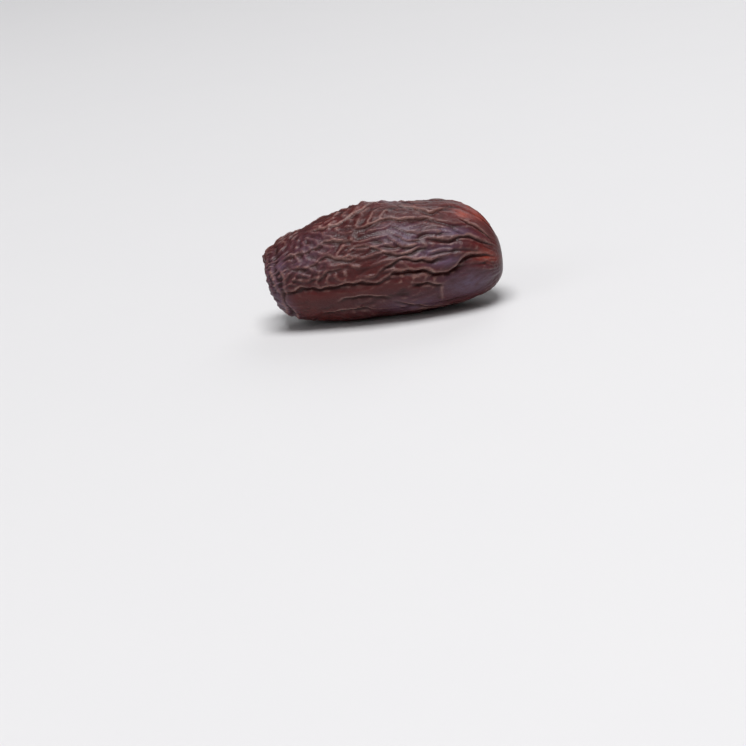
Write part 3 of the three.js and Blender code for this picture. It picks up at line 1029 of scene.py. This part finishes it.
def skin_colour(tree, where, lengthwise, film):
    """The skin's colour from the flesh outwards, with painted shade, highlights and sheen laid in."""
    blotches = mottled(tree, lengthwise, large=130.0, small=800.0, small_share=0.35, contrast=2.2)
    clouds = mottled(tree, where, large=55.0, small=240.0, small_share=0.35, contrast=2.6)
    specks = mottled(tree, where, large=700.0, small=2200.0, small_share=0.5, contrast=2.0)
    wear = mottled(tree, where, large=170.0, small=900.0, small_share=0.4, contrast=2.6)
    colour = mixed(tree, DEEP_MAROON, MAROON, blotches)
    colour = mixed(tree, colour, PLUM, clouds, share=0.55)

    glow = mask_named(tree, "glow")
    thinnest = add(tree, "ShaderNodeMapRange", From_Min=0.45, From_Max=1.0)
    tree.links.new(glow, thinnest.inputs["Value"])
    # painted highlight: pink where the glow is strongest and the wax film lies
    pink_highlight = product(tree, thinnest.outputs["Result"], film)
    colour = mixed(tree, colour, THIN_RED, glow, share=0.85)
    colour = mixed(tree, colour, PINK_HIGHLIGHT, pink_highlight, share=1.5)
    # pressed red and painted shade: the lower front is darkened to a deep red
    colour = mixed(tree, colour, PRESSED_RED_AND_SHADE, mask_named(tree, "pressed_and_shade"), share=0.85)
    # painted sheen: lavender laid over the wax bloom
    colour = mixed(tree, colour, BLOOM_AND_SHEEN_LAVENDER, product(tree, mask_named(tree, "bloom_and_sheen"), film), share=1.3)
    # painted shade: the hollows and slits are darkened to a deep red
    colour = mixed(tree, colour, HOLLOW_SHADE_RED, mask_named(tree, "hollow"), share=0.9)
    colour = mixed(tree, colour, SLIT_SHADE_RED, mask_named(tree, "slit"), share=0.9)

    # painted highlight and wear: the crests and the folds' edges are paled
    for name, share in (("crest", 1.5), ("ledge", 2.0)):
        worn_and_lit = product(tree, product(tree, mask_named(tree, name), specks), wear)
        colour = mixed(tree, colour, WORN_AND_LIT_CREST, worn_and_lit, share)

    amber = mixed(tree, PIT_BROWN, SCAR_AMBER, specks, share=1.3)
    colour = mixed(tree, colour, amber, mask_named(tree, "scar"))
    colour = mixed(tree, colour, SCAR_CREAM, mask_named(tree, "scar_edge"), share=0.6)
    return mixed(tree, colour, PIT_BROWN, mask_named(tree, "pit"), share=0.85)


print("a worn crest is", round(sum(WORN_AND_LIT_CREST) / sum(MAROON), 1), "times as bright as the flesh")

# %% [markdown]
# Light goes a little way into the real skin and comes out red, which a little subsurface light gives. The
# wax is a patchy film, so the same noise that thins the bloom also makes the gloss uneven. Two layers of
# bump add the crêping and the grain of the wax, far finer than the mesh can carry.

# %% Make the skin
def skin_bumps(tree, where):
    """The normal of the creped and grainy wax."""
    creping = add(tree, "ShaderNodeTexNoise", Scale=2300.0, Detail=2.0, Roughness=0.5)
    grain = add(tree, "ShaderNodeTexNoise", Scale=5200.0, Detail=2.0, Roughness=0.6)
    creped = add(tree, "ShaderNodeBump", Strength=0.7, Distance=0.00016)
    grained = add(tree, "ShaderNodeBump", Strength=0.3, Distance=0.00003)
    for noise_node, bump in ((creping, creped), (grain, grained)):
        tree.links.new(where, noise_node.inputs["Vector"])
        tree.links.new(noise_node.outputs["Fac"], bump.inputs["Height"])
    tree.links.new(creped.outputs["Normal"], grained.inputs["Normal"])
    return grained.outputs["Normal"]


def skin_material():
    material = bpy.data.materials.new("date_skin")
    material.use_nodes = True
    tree = material.node_tree
    tree.nodes.clear()
    where = add(tree, "ShaderNodeTexCoord").outputs["Object"]
    drawn_out = add(tree, "ShaderNodeMapping", Scale=(0.35, 1.0, 1.0))
    tree.links.new(where, drawn_out.inputs["Vector"])
    lengthwise = drawn_out.outputs["Vector"]
    film = mottled(tree, lengthwise, large=260.0, small=1500.0, small_share=0.45, contrast=2.0)
    dull = add(tree, "ShaderNodeMapRange", To_Min=0.30, To_Max=0.52)
    tree.links.new(film, dull.inputs["Value"])

    shader = add(tree, "ShaderNodeBsdfPrincipled", IOR=1.38)
    shader.inputs["Subsurface Weight"].default_value = 0.12
    shader.inputs["Subsurface Radius"].default_value = (1.0, 0.28, 0.16)
    shader.inputs["Subsurface Scale"].default_value = 0.0006
    tree.links.new(skin_colour(tree, where, lengthwise, film), shader.inputs["Base Color"])
    tree.links.new(dull.outputs["Result"], shader.inputs["Roughness"])
    tree.links.new(skin_bumps(tree, where), shader.inputs["Normal"])
    output = add(tree, "ShaderNodeOutputMaterial")
    tree.links.new(shader.outputs["BSDF"], output.inputs["Surface"])
    return material


skin_mesh.materials.append(skin_material())
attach(date_skin, "root")
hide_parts("date")
print("the skin's material has", len(skin_mesh.materials[0].node_tree.nodes), "nodes")

# %% [markdown]
# ## The table
#
# The date lies on a plain pale table, large enough to fill the whole picture behind it. A backdrop that
# curves up would do as well, but a flat table is simpler and shows from every side how the date rests.

# %% Lay the table
TABLE_SIZE = 6.0
TABLE_PALE = (0.66, 0.66, 0.67)
TABLE_PALER = (0.69, 0.69, 0.69)


def table_material():
    material = bpy.data.materials.new("pale_table")
    material.use_nodes = True
    tree = material.node_tree
    where = add(tree, "ShaderNodeTexCoord").outputs["Object"]
    faint = mottled(tree, where, large=3.0, small=40.0, small_share=0.3, contrast=1.0)
    shader = tree.nodes["Principled BSDF"]
    shader.inputs["Roughness"].default_value = 0.65
    tree.links.new(mixed(tree, TABLE_PALE, TABLE_PALER, faint), shader.inputs["Base Color"])
    return material


table_mesh = bpy.data.meshes.new("table")
half = TABLE_SIZE / 2
corners = [(-half, -half, 0), (half, -half, 0), (half, half, 0), (-half, half, 0)]
table_mesh.from_pydata(corners, [], [(0, 1, 2, 3)])
table = bpy.data.objects.new("table", table_mesh)
table_mesh.materials.append(table_material())
bpy.context.scene.collection.objects.link(table)
print("the table is", TABLE_SIZE, "m wide")

# %% [markdown]
# ## Light
#
# The photograph has the even white light of a small studio: a broad soft lamp above and a little in
# front, which draws the grey-lavender shine on the upper folds, and surroundings that fill the rest.
# Wide lamps are used, since small ones would give the wax hard sparkles that it doesn't have. They hang
# about two and a half metres off, so that the table stays evenly pale well past the date.

# %% Light the scene
ROOM_LIGHT = 0.155


def soft_lamp(name, place, size, watts, tint):
    """A square lamp that looks at the date."""
    data = bpy.data.lights.new(name, "AREA")
    data.energy = watts
    data.size = size
    data.color = tint
    lamp = bpy.data.objects.new(name, data)
    lamp.location = place
    lamp.rotation_euler = (date_middle - Vector(place)).to_track_quat("-Z", "Y").to_euler()
    bpy.context.scene.collection.objects.link(lamp)


soft_lamp("overhead", place=(0.00, -0.56, 2.32), size=1.44, watts=64.0, tint=(1.0, 0.99, 1.0))
soft_lamp("from_left", place=(-1.80, -1.40, 1.40), size=1.20, watts=8.0, tint=(0.97, 0.98, 1.0))
soft_lamp("from_behind", place=(0.80, 2.00, 1.40), size=1.40, watts=11.0, tint=(0.98, 0.98, 1.0))

room = bpy.data.worlds.new("bright_room")
room.use_nodes = True
room.node_tree.nodes["Background"].inputs["Color"].default_value = (1.0, 1.0, 1.0, 1)
room.node_tree.nodes["Background"].inputs["Strength"].default_value = ROOM_LIGHT
bpy.context.scene.world = room
bpy.context.scene.view_settings.view_transform = "Standard"
